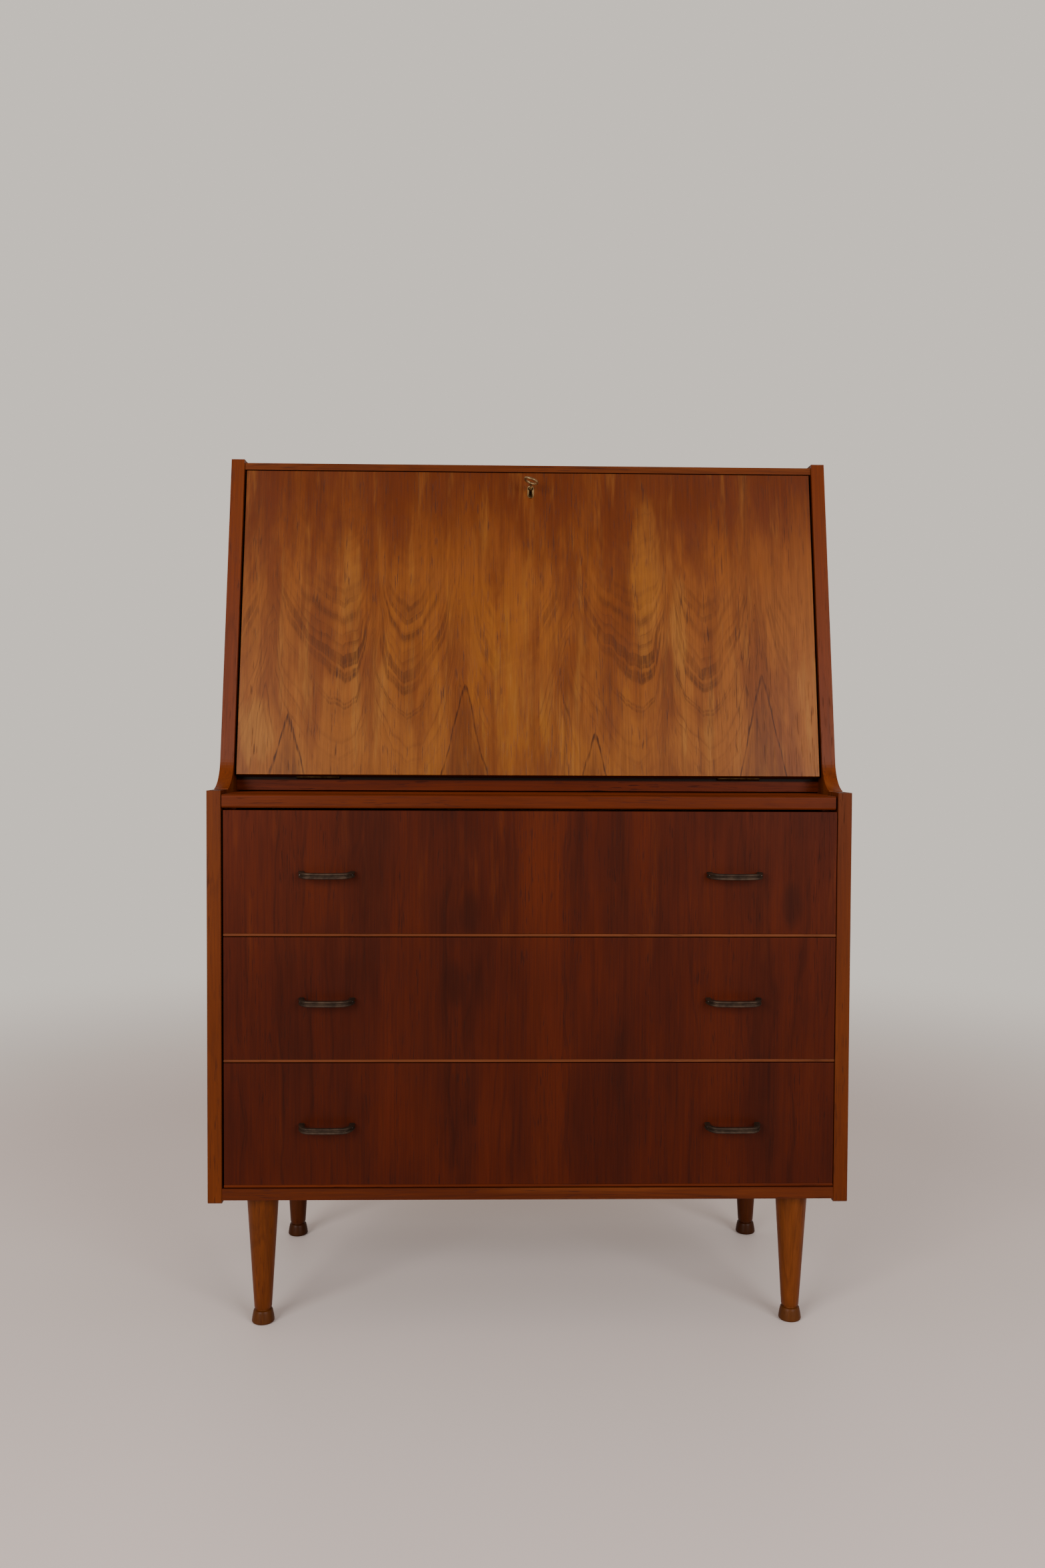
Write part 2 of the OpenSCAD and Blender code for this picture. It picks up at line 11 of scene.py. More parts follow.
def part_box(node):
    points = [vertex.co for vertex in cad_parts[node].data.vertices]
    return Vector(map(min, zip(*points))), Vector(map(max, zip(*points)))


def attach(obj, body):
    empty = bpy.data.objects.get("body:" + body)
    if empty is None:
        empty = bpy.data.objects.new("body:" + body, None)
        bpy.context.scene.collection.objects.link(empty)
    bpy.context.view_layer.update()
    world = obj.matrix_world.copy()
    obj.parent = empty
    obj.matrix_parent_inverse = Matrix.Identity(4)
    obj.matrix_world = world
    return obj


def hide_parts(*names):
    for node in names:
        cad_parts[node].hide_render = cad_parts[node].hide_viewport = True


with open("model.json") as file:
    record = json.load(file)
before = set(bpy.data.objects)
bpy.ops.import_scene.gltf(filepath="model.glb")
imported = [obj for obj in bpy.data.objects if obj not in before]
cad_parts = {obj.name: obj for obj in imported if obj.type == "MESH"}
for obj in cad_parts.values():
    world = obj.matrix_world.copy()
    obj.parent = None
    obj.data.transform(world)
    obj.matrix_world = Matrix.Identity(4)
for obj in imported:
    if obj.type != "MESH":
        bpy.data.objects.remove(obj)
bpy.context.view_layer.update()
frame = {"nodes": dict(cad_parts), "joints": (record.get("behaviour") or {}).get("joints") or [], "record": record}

NODES = frame["nodes"]
BODY_OF = {n: b for b, ns in frame["record"]["behaviour"]["bodies"].items() for n in ns}
SLOT_OF = {s["node"]: s["material_slot"] for s in frame["record"]["subparts"]}
JOINTS = {j["name"]: j for j in frame["joints"]}
MM = 0.001

HINGE = Vector(JOINTS["flap_hinge"]["pos_m"])
LEAN = math.radians(JOINTS["flap_hinge"]["range_deg"][1] - 90)
UP_SLOPE = Vector((0, math.sin(LEAN), math.cos(LEAN)))
OUT_OF_FLAP = Vector((0, -math.cos(LEAN), math.sin(LEAN)))
KEY_AXIS = Vector(JOINTS["key_turn"]["pos_m"])


# ---- Camera ----

CAMERA_AT = (-0.0502, -1.8922, 0.8074)
CAMERA_YAW = math.radians(1.298)
CAMERA_PITCH = math.radians(-1.883)
CAMERA_ROLL = math.radians(0.265)
LENS = 29.08


def add_camera():
    data = bpy.data.cameras.new("camera")
    data.lens = LENS
    data.sensor_width = 36
    camera = bpy.data.objects.new("camera", data)
    bpy.context.scene.collection.objects.link(camera)
    forward = Vector((math.sin(CAMERA_YAW) * math.cos(CAMERA_PITCH),
                      math.cos(CAMERA_YAW) * math.cos(CAMERA_PITCH), math.sin(CAMERA_PITCH)))
    level = Vector((math.cos(CAMERA_YAW), -math.sin(CAMERA_YAW), 0))
    above = level.cross(forward)
    right = math.cos(CAMERA_ROLL) * level + math.sin(CAMERA_ROLL) * above
    up = right.cross(forward)
    turn = Matrix((right, up, -forward)).transposed()
    camera.matrix_world = Matrix.Translation(CAMERA_AT) @ turn.to_4x4()
    bpy.context.scene.camera = camera


add_camera()


# ---- Node trees ----

class Tree:
    """A material's node tree, with short calls that make a node and link its inputs."""

    def __init__(self, name):
        self.material = bpy.data.materials.new(name)
        self.material.use_nodes = True
        self.nodes = self.material.node_tree.nodes
        self.links = self.material.node_tree.links
        self.shader = self.nodes["Principled BSDF"]

    def put(self, socket, value):
        if isinstance(value, bpy.types.NodeSocket):
            self.links.new(value, socket)
        else:
            socket.default_value = value

    def math(self, operation, *values):
        node = self.nodes.new("ShaderNodeMath")
        node.operation = operation
        for socket, value in zip(node.inputs, values):
            self.put(socket, value)
        return node.outputs[0]

    def plus(self, a, b):
        return self.math("ADD", a, b)

    def minus(self, a, b):
        return self.math("SUBTRACT", a, b)

    def times(self, a, b):
        return self.math("MULTIPLY", a, b)

    def ratio(self, a, b):
        return self.math("DIVIDE", a, b)

    def sum_of_squares(self, a, b):
        return self.plus(self.times(a, a), self.times(b, b))

    def noise(self, vector, scale, detail=2.0, rough=0.5):
        node = self.nodes.new("ShaderNodeTexNoise")
        self.put(node.inputs["Vector"], vector)
        self.put(node.inputs["Scale"], scale)
        self.put(node.inputs["Detail"], detail)
        self.put(node.inputs["Roughness"], rough)
        return node.outputs["Fac"]

    def spread(self, value, low, high, to_low=0.0, to_high=1.0, smooth=True):
        node = self.nodes.new("ShaderNodeMapRange")
        node.interpolation_type = "SMOOTHSTEP" if smooth else "LINEAR"
        for name, v in (("Value", value), ("From Min", low), ("From Max", high),
                        ("To Min", to_low), ("To Max", to_high)):
            self.put(node.inputs[name], v)
        return node.outputs["Result"]

    def mix(self, factor, a, b, blend="MIX"):
        node = self.nodes.new("ShaderNodeMix")
        node.data_type = "RGBA"
        node.blend_type = blend
        colours = [i for i in node.inputs if i.type == "RGBA"]
        self.put(node.inputs[0], factor)
        for socket, value in zip(colours, (a, b)):
            self.put(socket, value if isinstance(value, bpy.types.NodeSocket) else (*value, 1))
        return [o for o in node.outputs if o.type == "RGBA"][0]

    def combine(self, x, y, z):
        node = self.nodes.new("ShaderNodeCombineXYZ")
        for socket, value in zip(node.inputs, (x, y, z)):
            self.put(socket, value)
        return node.outputs[0]

    def object_axes(self, turn=(0, 0, 0)):
        """The piece's own x, y and z, turned."""
        coordinates = self.nodes.new("ShaderNodeTexCoord")
        mapping = self.nodes.new("ShaderNodeMapping")
        mapping.inputs["Rotation"].default_value = turn
        self.links.new(coordinates.outputs["Object"], mapping.inputs["Vector"])
        split = self.nodes.new("ShaderNodeSeparateXYZ")
        self.links.new(mapping.outputs[0], split.inputs[0])
        return split.outputs

    def ramp(self, value, stops, interpolation="B_SPLINE"):
        """A curve through (position, height) stops, as one number."""
        node = self.nodes.new("ShaderNodeValToRGB")
        node.color_ramp.interpolation = interpolation
        elements = node.color_ramp.elements
        while len(elements) < len(stops):
            elements.new(0.5)
        for element, (at, height) in zip(elements, stops):
            element.position = at
            element.color = (height, height, height, 1)
        self.put(node.inputs[0], value)
        return node.outputs[0]

    def bump(self, height, strength, distance):
        node = self.nodes.new("ShaderNodeBump")
        node.inputs["Strength"].default_value = strength
        node.inputs["Distance"].default_value = distance
        self.put(node.inputs["Height"], height)
        self.put(self.shader.inputs["Normal"], node.outputs[0])

    def surface(self, colour, roughness, **constants):
        self.put(self.shader.inputs["Base Color"], colour)
        self.put(self.shader.inputs["Roughness"], roughness)
        for name, value in constants.items():
            self.shader.inputs[name.replace("_", " ")].default_value = value
        return self.material


# ---- Woods ----

# Tones in linear light: the dark lines, two middle tones and the palest streaks. The flap has two more, its
# redder patches and its brown bands.
FLAP_TONES = ((0.0292, 0.0063, 0.0010), (0.1144, 0.0291, 0.0039), (0.1704, 0.0526, 0.0068),
              (0.2336, 0.0953, 0.0158), (0.0828, 0.0161, 0.0020), (0.0633, 0.0151, 0.0022))
# Multiplied into the flap towards its top: painted shade that makes the top darker and redder than the lower flap
FLAP_TOP_PAINTED_SHADE = (0.82, 0.71, 0.72)
DRAWER_TONES = ((0.0164, 0.0028, 0.0010), (0.0396, 0.0053, 0.0011), (0.0571, 0.0080, 0.0016),
                (0.0875, 0.0156, 0.0031))
CASE_TONES = ((0.0227, 0.0045, 0.0010), (0.0710, 0.0137, 0.0023), (0.0993, 0.0211, 0.0034),
              (0.1474, 0.0413, 0.0071))
BOTTOM_TONES = ((0.0170, 0.0030, 0.0008), (0.0532, 0.0091, 0.0018), (0.0744, 0.0141, 0.0028),
                (0.1106, 0.0275, 0.0056))
# The back legs' tones are darker than the front legs' as painted shade
BACK_LEG_PAINTED_SHADE_TONES = ((0.0196, 0.0040, 0.0010), (0.0413, 0.0088, 0.0017), (0.0558, 0.0128, 0.0026),
                  (0.0743, 0.0204, 0.0049))
TOP_TONES = ((0.0228, 0.0043, 0.0011), (0.0647, 0.0124, 0.0025), (0.0894, 0.0201, 0.0043),
             (0.1141, 0.0311, 0.0069))
RISER_TONES = ((0.0173, 0.0018, 0.0003), (0.0604, 0.0075, 0.0009), (0.0834, 0.0116, 0.0014),
               (0.1094, 0.0194, 0.0030))
LIPPING_TONES = ((0.0276, 0.0054, 0.0011), (0.0687, 0.0126, 0.0019), (0.0904, 0.0189, 0.0028),
                 (0.1259, 0.0331, 0.0060))
CHEEK_TONES = ((0.0331, 0.0058, 0.0007), (0.0826, 0.0134, 0.0012), (0.1087, 0.0201, 0.0018),
               (0.1511, 0.0351, 0.0039))
SLIDE_TONES = ((0.0231, 0.0034, 0.0005), (0.0577, 0.0081, 0.0009), (0.0759, 0.0121, 0.0014),
               (0.1056, 0.0213, 0.0031))
# The slide's top is paler, partly as teak like the flap's and partly as painted light on a top the lamps hardly
# reach
SLIDE_TOP_PAINTED_LIGHT_TONES = ((0.0572, 0.0097, 0.0017), (0.1429, 0.0231, 0.0029), (0.1882, 0.0346, 0.0046),
                   (0.2617, 0.0606, 0.0097))
EDGE_TONES = ((0.0431, 0.0100, 0.0034), (0.0814, 0.0209, 0.0064), (0.1006, 0.0285, 0.0093),
              (0.1245, 0.0419, 0.0169))
LEG_TONES = ((0.0380, 0.0084, 0.0018), (0.0800, 0.0187, 0.0032), (0.1080, 0.0275, 0.0051),
             (0.1439, 0.0437, 0.0094))
PALE_TONES = ((0.240, 0.130, 0.0550), (0.420, 0.250, 0.120), (0.500, 0.320, 0.165), (0.600, 0.410, 0.230))
PLY_TONES = ((0.170, 0.085, 0.0350), (0.300, 0.165, 0.075), (0.370, 0.215, 0.105), (0.450, 0.280, 0.150))
# Multiplied into the drawers towards the floor, into a leg's shoe and, as a painted sheen that makes them lighter
# and paler, into the case's lower edges
LOW_DRAWER_TINT = (0.84, 0.78, 0.84)
SHOE = (17 * MM, 20 * MM, (0.66, 0.82, 1.0))
CASE_EDGE_PAINTED_SHEEN = (700 * MM, 760 * MM, (1.28, 1.46, 1.50))
# The riser is in shadow above this height, on its front
RISER_SHADOW = (0.004, 0.001, 0.0005)
RISER_SHADOW_Z = 751 * MM
RISER_SHADOW_Y = -83 * MM

FLAP_FOOT = 727.4 * MM
FLAP_RISE = 450 * MM
FLAP_HALF_W = 412.5 * MM
# One leaf of the flap's veneer, repeated across it: how far a growth line hangs down along the leaf, as a
# share of ARCH_H, and how plainly the lines show, which is hardly at all in the straight grain at its end
LEAF_W = 427 * MM
ARCH_H = 270 * MM
ARCHES = ((0.0, 0.20), (0.06, 0.42), (0.097, 0.80), (0.14, 0.45), (0.20, 0.30), (0.26, 0.12), (0.30, 0.03),
          (0.345, 0.0), (0.39, 0.08), (0.42, 0.30), (0.444, 0.92), (0.468, 0.32), (0.50, 0.10), (0.55, 0.0),
          (0.60, 0.05), (0.65, 0.16), (0.69, 0.34), (0.72, 0.60), (0.74, 0.95), (0.765, 0.60), (0.80, 0.30),
          (0.85, 0.1), (1.0, 0.20))
FIGURE = ((0.0, 0.6), (0.10, 0.9), (0.22, 0.5), (0.34, 1.0), (0.55, 1.0), (0.64, 0.45), (0.73, 0.9),
          (0.83, 0.35), (0.87, 0.08), (0.98, 0.08), (1.0, 0.5))
# Amber tongues: centre across the flap, half width, middle of the height, half height, all as shares
TONGUES = ((0.190, 0.016, 0.62, 0.16), (0.705, 0.026, 0.66, 0.26), (0.762, 0.014, 0.52, 0.16),
           (0.030, 0.03, 0.15, 0.10))
# Brown hearts under the arches: centre across the flap, and how high each reaches
HEARTS = ((0.388, 0.28), (0.905, 0.30), (0.612, 0.13), (0.085, 0.20))

FRONTS_LEFT = 413 * MM
FRONTS_W = 828 * MM
# Dark streaks through the three drawer fronts, left to right, and the paler band between them
STREAKS = ((0.0, 0.25), (0.06, 0.1), (0.12, 0.7), (0.16, 0.15), (0.20, 0.6), (0.26, 0.75), (0.29, 0.1),
           (0.33, 0.55), (0.39, 0.9), (0.42, 0.15), (0.47, 0.4), (0.50, 0.15), (0.545, 0.2), (0.575, 0.65),
           (0.61, 0.2), (0.645, 0.85), (0.68, 0.2), (0.72, 0.65), (0.78, 0.15), (0.84, 0.3), (0.885, 0.8),
           (0.93, 0.3), (1.0, 0.4))
PALE_BAND = 0.515
# Where the lines part round a knot: across the fronts, and up from the floor
KNOTS = ((0.40, 575 * MM), (0.926, 588 * MM), (0.38, 482 * MM))
# A knot's half width as a share of the fronts', and its half height
KNOT_W = 0.030
KNOT_H = 55 * MM


class Wood(Tree):
    """A tree with the axes of a board: across its grain, through it and along the grain, in metres."""

    def __init__(self, name, grain="z", seed=0.0, turn=(0, 0, 0)):
        super().__init__(name)
        x, y, z = self.object_axes(turn)
        self.place = (x, y, z)
        self.seed = seed
        self.across, self.deep, self.along = {"z": (x, y, z), "x": (z, y, x), "y": (x, z, y)}[grain]

    def field(self, wide, long, detail=2.0, rough=0.5, offset=0.0):
        """Noise with so many changes a metre across the grain and so many along it."""
        vector = self.combine(self.math("MULTIPLY_ADD", self.across, wide, self.seed + offset),
                              self.times(self.deep, wide),
                              self.math("MULTIPLY_ADD", self.along, long, self.seed * 1.7 + offset))
        return self.noise(vector, 1.0, detail, rough)

    def finish(self, colour, dark, gloss, pores, specular, lines=None):
        """Fibres, open pores, a handled sheen and the relief they share."""
        fibre = self.field(430.0, 9.0, 3.0, 0.6, 3.0)
        fine = self.spread(fibre, 0.30, 0.72, 0.84, 1.14, smooth=False)
        colour = self.mix(1.0, colour, self.combine(fine, fine, fine), "MULTIPLY")
        dashes = self.spread(self.field(600.0, 36.0, 1.5, 0.4, 5.0), 0.58, 0.67)
        groups = self.spread(self.field(70.0, 5.0, 3.0, 0.6, 7.0), 0.42, 0.66, 0.18, 1.0)
        if lines is not None:
            groups = self.math("MAXIMUM", groups, lines)
        dashes = self.times(dashes, groups)
        colour = self.mix(self.times(dashes, 0.70 * pores), colour, dark)
        relief = self.minus(self.times(fibre, 0.35), self.times(dashes, pores))
        self.bump(relief, 0.35, 0.00018)
        wear = self.noise(self.combine(*self.place), 14.0, 4.0, 0.6)
        roughness = self.plus(self.spread(wear, 0.3, 0.7, gloss - 0.02, gloss + 0.03),
                              self.times(dashes, 0.18))
        return self.surface(colour, roughness, Specular_IOR_Level=specular)

    def wandering(self, amount, wide=9.0, long=1.4, offset=0.0):
        """A slow drift to either side, at most half the amount."""
        drift = self.field(wide, long, 2.0, 0.5, 11.0 + offset)
        return self.times(self.minus(drift, 0.5), amount)


def plain_wood(name, tones, grain="z", seed=0.0, turn=(0, 0, 0), rings=9.0, figure=0.5, bands=1.0, pores=1.0,
               gloss=0.42, specular=0.08, tinted_below=None, shadowed=False):
    """Straight-grained timber or case veneer: slow tones, soft dark streaks and growth lines. tinted_below
    holds the heights between which a tint fades out, and the tint."""
    board = Wood(name, grain, seed, turn)
    colour = board.mix(board.spread(board.field(13.0, 1.6, 3.0, 0.55), 0.30, 0.70), tones[1], tones[2])
    pale = board.spread(board.field(26.0, 1.7, 2.5, 0.6, 2.0), 0.56, 0.76)
    colour = board.mix(board.times(pale, 0.6 * bands), colour, tones[3])
    height = board.plus(board.along, board.wandering(3.6, 11.0, 0.9))
    vector = board.combine(board.times(height, rings), board.seed, 0.0)
    ring = board.spread(board.noise(vector, 1.0, 3.0, 0.6), 0.50, 0.72)
    colour = board.mix(board.times(ring, figure), colour, tones[0])
    streak = board.spread(board.field(62.0, 2.2, 4.0, 0.6, 4.0), 0.52, 0.80)
    colour = board.mix(board.times(streak, 0.5 * bands), colour, tones[0])
    if shadowed:
        above = board.spread(board.place[2], RISER_SHADOW_Z, RISER_SHADOW_Z + 3 * MM)
        front = board.spread(board.place[1], RISER_SHADOW_Y, RISER_SHADOW_Y + 2 * MM, 1.0, 0.0)
        colour = board.mix(board.times(above, front), colour, RISER_SHADOW)
    # A tint by height: darker at a leg's shoe, and a painted sheen at the case's lower edges
    if tinted_below is not None:
        start, end, tint = tinted_below
        below = board.spread(board.place[2], start, end, 1.0, 0.0)
        colour = board.mix(below, colour, board.mix(1.0, colour, tint, "MULTIPLY"))
    return board.finish(colour, tones[0], gloss, pores, specular)


def flap_wood(name, tones):
    """Crown-cut leaves laid side by side: nested valleys, arches with brown hearts, amber tongues, and a
    redder, darker top that is painted shade. Heights and widths here are shares of the flap's."""
    leafs = Wood(name, "z", 0.0, (LEAN, 0, 0))
    width = leafs.plus(leafs.across, FLAP_HALF_W)
    rise = leafs.ratio(leafs.minus(leafs.along, FLAP_FOOT), FLAP_RISE)
    over = leafs.ratio(width, 2 * FLAP_HALF_W)
    place = leafs.ratio(width, LEAF_W)
    number = leafs.math("FLOOR", place)
    within = leafs.math("FRACT", place)
    leafs.across = leafs.times(within, LEAF_W)
    leafs.deep = leafs.times(number, 0.012)
    shifted = leafs.plus(within, leafs.wandering(0.09, 18.0, 6.0))

    contour = leafs.ramp(shifted, ARCHES, "LINEAR")
    height = leafs.math("MULTIPLY_ADD", contour, -ARCH_H, leafs.along)
    height = leafs.plus(height, leafs.wandering(0.10, 9.0, 1.6, 2.0))
    height = leafs.plus(height, leafs.wandering(0.011, 75.0, 12.0, 4.0))

    def growth(rings, low, high, offset):
        vector = leafs.combine(leafs.times(height, rings), offset, 0.0)
        return leafs.spread(leafs.noise(vector, 1.0, 2.0, 0.5), low, high)

    shows = leafs.ramp(within, FIGURE)
    patchy = leafs.spread(leafs.field(16.0, 6.0, 3.0, 0.6, 9.0), 0.34, 0.58, 0.35, 1.0)
    reach = leafs.spread(rise, 0.50, 0.68, 1.0, 0.16)
    reach = leafs.times(reach, leafs.spread(rise, 0.06, 0.26, 0.30, 1.0))
    shows = leafs.times(leafs.times(shows, patchy), reach)
    thin = leafs.times(growth(76.0, 0.51, 0.63, 3.7), shows)
    broken = leafs.spread(leafs.field(480.0, 34.0, 1.5, 0.5, 13.0), 0.42, 0.60, 0.40, 1.0)
    thin = leafs.times(thin, broken)
    broad = leafs.times(growth(26.0, 0.44, 0.62, 5.0), shows)

    tone = leafs.spread(leafs.field(17.0, 3.6, 5.0, 0.62), 0.40, 0.60)
    colour = leafs.mix(tone, tones[1], tones[2])
    # Redder patches here and there, and a redder top that is painted shade
    redness = leafs.plus(leafs.spread(rise, 0.35, 1.05, 0.0, 0.75),
                         leafs.times(leafs.field(9.0, 3.0, 2.0, 0.5, 6.0), 0.30))
    reds = leafs.spread(leafs.minus(redness, leafs.times(tone, 0.15)), 0.15, 0.95)
    colour = leafs.mix(leafs.times(reds, 0.80), colour, tones[4])
    amber = leafs.spread(leafs.field(38.0, 4.0, 4.0, 0.65, 2.0), 0.52, 0.72)
    colour = leafs.mix(leafs.times(amber, 0.50), colour, tones[3])
    frayed = leafs.wandering(3.4, 85.0, 15.0, 6.0)
    for centre, half_width, middle, half_height in TONGUES:
        sideways = leafs.ratio(leafs.minus(over, centre), half_width)
        upward = leafs.ratio(leafs.minus(rise, middle), half_height)
        away = leafs.sum_of_squares(sideways, upward)
        tongue = leafs.spread(leafs.plus(away, frayed), 0.1, 1.7, 0.46, 0.0)
        colour = leafs.mix(tongue, colour, tones[3])
    colour = leafs.mix(leafs.times(broad, 0.50), colour, tones[5])
    streak = leafs.spread(leafs.field(95.0, 4.0, 4.0, 0.65, 4.0), 0.50, 0.72)
    colour = leafs.mix(leafs.times(streak, 0.36), colour, tones[5])
    grainy = leafs.spread(leafs.field(150.0, 7.0, 3.0, 0.6, 7.0), 0.36, 0.60, 0.45, 1.0)
    for centre, top in HEARTS:
        aside = leafs.math("ABSOLUTE", leafs.minus(over, centre))
        flank = leafs.times(leafs.math("POWER", aside, 1.4), 27.0)
        under = leafs.minus(leafs.minus(top, flank), rise)
        under = leafs.plus(under, leafs.wandering(0.16, 44.0, 7.0, 8.0))
        heart = leafs.times(leafs.spread(under, 0.0, 0.10, 0.0, 0.55), grainy)
        colour = leafs.mix(heart, colour, tones[5])
        outline = leafs.times(leafs.spread(under, -0.012, 0.0), leafs.spread(under, 0.006, 0.026, 0.9, 0.0))
        colour = leafs.mix(leafs.times(outline, broken), colour, tones[0])
    colour = leafs.mix(leafs.times(thin, 0.68), colour, tones[0])
    # Painted shade: the flap darker and redder towards its top
    upper = leafs.spread(rise, 0.10, 1.02)
    colour = leafs.mix(upper, colour, leafs.mix(1.0, colour, FLAP_TOP_PAINTED_SHADE, "MULTIPLY"))
    return leafs.finish(colour, tones[0], 0.34, 1.0, 0.14, thin)


def drawer_wood(name, tones):
    """One sheet of veneer over the three fronts: dark streaks that wander down through all of them."""
    sheet = Wood(name, "z", 1.7)
    over = sheet.ratio(sheet.plus(sheet.across, FRONTS_LEFT), FRONTS_W)
    cores = []
    for knot_over, knot_up in KNOTS:
        sideways = sheet.minus(over, knot_over)
        upward = sheet.minus(sheet.along, knot_up)
        squares = sheet.sum_of_squares(sheet.ratio(sideways, KNOT_W), sheet.ratio(upward, KNOT_H))
        near = sheet.ratio(0.8, sheet.plus(squares, 1.0))
        cores.append(sheet.spread(squares, 0.0, 0.55, 0.55, 0.0))
        over = sheet.minus(over, sheet.times(sideways, near))
    over = sheet.plus(over, sheet.wandering(0.075, 8.0, 3.4))
    over = sheet.plus(over, sheet.wandering(0.014, 60.0, 12.0, 3.0))
    dark = sheet.math("POWER", sheet.ramp(over, STREAKS, "EASE"), 1.6)
    soft = sheet.spread(sheet.field(16.0, 5.0, 3.0, 0.6, 8.0), 0.34, 0.64, 0.25, 1.0)
    colour = sheet.mix(sheet.spread(sheet.field(14.0, 3.2, 4.0, 0.6), 0.32, 0.68), tones[1], tones[2])
    middle = sheet.spread(sheet.math("ABSOLUTE", sheet.minus(over, PALE_BAND)), 0.0, 0.075, 0.42, 0.0)
    top = sheet.spread(sheet.along, 0.48, 0.62, 0.25, 1.0)
    colour = sheet.mix(sheet.times(middle, sheet.times(top, 0.65)), colour, tones[3])
    pale = sheet.spread(sheet.field(40.0, 3.6, 4.0, 0.65, 2.0), 0.54, 0.74)
    colour = sheet.mix(sheet.times(pale, sheet.times(top, 0.6)), colour, tones[3])
    colour = sheet.mix(sheet.times(sheet.times(dark, soft), 0.70), colour, tones[0])
    for core in cores:
        colour = sheet.mix(core, colour, tones[0])
    drawn = sheet.noise(sheet.combine(sheet.times(over, 62.0), 0.0, 0.0), 1.0, 3.0, 0.6)
    lines = sheet.times(sheet.spread(drawn, 0.52, 0.66), soft)
    colour = sheet.mix(sheet.times(lines, 0.48), colour, tones[0])
    streak = sheet.spread(sheet.field(90.0, 4.0, 4.0, 0.65, 4.0), 0.50, 0.76)
    colour = sheet.mix(sheet.times(streak, 0.34), colour, tones[0])
    colour = sheet.mix(top, sheet.mix(1.0, colour, LOW_DRAWER_TINT, "MULTIPLY"), colour)
    return sheet.finish(colour, tones[0], 0.42, 1.0, 0.07)


# ---- Metals ----

def metal(name, dark, bright, roughness, metallic, grain=900.0):
    """A handled metal: patina gathers in patches and the surface is finely scratched."""
    tree = Tree(name)
    x, y, z = tree.object_axes()
    place = tree.combine(x, y, z)
    patches = tree.noise(place, 70.0, 5.0, 0.65)
    specks = tree.noise(place, grain, 2.0, 0.6)
    colour = tree.mix(tree.spread(patches, 0.35, 0.68), dark, bright)
    speck = tree.spread(specks, 0.62, 0.75, 1.0, 0.72)
    colour = tree.mix(1.0, colour, tree.combine(speck, speck, speck), "MULTIPLY")
    tree.bump(tree.plus(patches, tree.times(specks, 0.4)), 0.25, 0.00008)
    rough = tree.spread(patches, 0.3, 0.7, roughness + 0.10, roughness - 0.06)
    return tree.surface(colour, rough, Metallic=metallic)


MATERIALS = {
    "flap": flap_wood("teak_flap", FLAP_TONES),
    "drawer": drawer_wood("teak_drawer", DRAWER_TONES),
    "side": plain_wood("teak_side", CASE_TONES, seed=3.1),
    "bottom": plain_wood("teak_bottom", BOTTOM_TONES, "x", 4.9),
    # The back legs' finish: the leg wood darkened as painted shade
    "leg_back": plain_wood("turned_leg_back_painted_shade", BACK_LEG_PAINTED_SHADE_TONES, "z", 9.9, figure=0.4, pores=0.8, gloss=0.38,
                           tinted_below=SHOE),
    "top": plain_wood("teak_top", TOP_TONES, "x", 6.1),
    "floor_panel": plain_wood("teak_riser", RISER_TONES, "x", 5.3, shadowed=True),
    "inside": plain_wood("teak_inside", CASE_TONES, "x", 8.2, gloss=0.5),
    "lipping": plain_wood("lipping_upright", LIPPING_TONES, "z", 5.9, figure=0.25, bands=0.6),
    "lipping_x": plain_wood("lipping_level", SLIDE_TONES, "x", 6.4, figure=0.25, bands=0.7),
    # The cheek lippings' lower ends carry a painted sheen, lighter and paler
    "lipping_slope": plain_wood("lipping_slope", CHEEK_TONES, "z", 7.3, (LEAN, 0, 0), figure=0.25, bands=0.6,
                                gloss=0.36, specular=0.11, tinted_below=CASE_EDGE_PAINTED_SHEEN),
    # Partly painted light: the slide's top kept paler than its lighting alone would show
    "slide_top": plain_wood("teak_slide", SLIDE_TOP_PAINTED_LIGHT_TONES, "x", 6.8, figure=0.4),
    "drawer_edge": plain_wood("drawer_edge", EDGE_TONES, "x", 2.6, figure=0.3, bands=0.8),
    "leg": plain_wood("turned_leg", LEG_TONES, "z", 9.4, figure=0.4, pores=0.8, gloss=0.38,
                      tinted_below=SHOE),
    "pale_y": plain_wood("drawer_side_wood", PALE_TONES, "y", 10.2, figure=0.3, gloss=0.55),
    "pale_x": plain_wood("drawer_back_wood", PALE_TONES, "x", 11.6, figure=0.3, gloss=0.55),
    "ply": plain_wood("back_plywood", PLY_TONES, "z", 12.8, gloss=0.6),
    "ply_x": plain_wood("drawer_bottom_plywood", PLY_TONES, "x", 13.5, gloss=0.6),
    "bronze": metal("dark_bronze", (0.020, 0.0105, 0.0060), (0.050, 0.0290, 0.0170), 0.60, 0.7),
    "brass": metal("aged_brass", (0.110, 0.060, 0.026), (0.400, 0.265, 0.120), 0.28, 0.9),
    # Brass darkened nearly to black as painted shade, for the hinges in the gap under the flap and the plate in
    # the keyhole
    "shade_dark_brass": metal("shade_dark_brass", (0.022, 0.011, 0.004), (0.070, 0.040, 0.016), 0.50, 1.0),
    "steel": metal("plain_steel", (0.22, 0.22, 0.22), (0.50, 0.50, 0.50), 0.38, 0.9),
}
BY_SLOT = {"flap_veneer": "flap", "drawer_veneer": "drawer", "case_veneer": "side", "lipping": "lipping",
           "leg_wood": "leg", "drawer_wood": "pale_y", "beech": "pale_y", "plywood": "ply",
           "bronze": "bronze", "brass": "brass", "steel": "steel"}
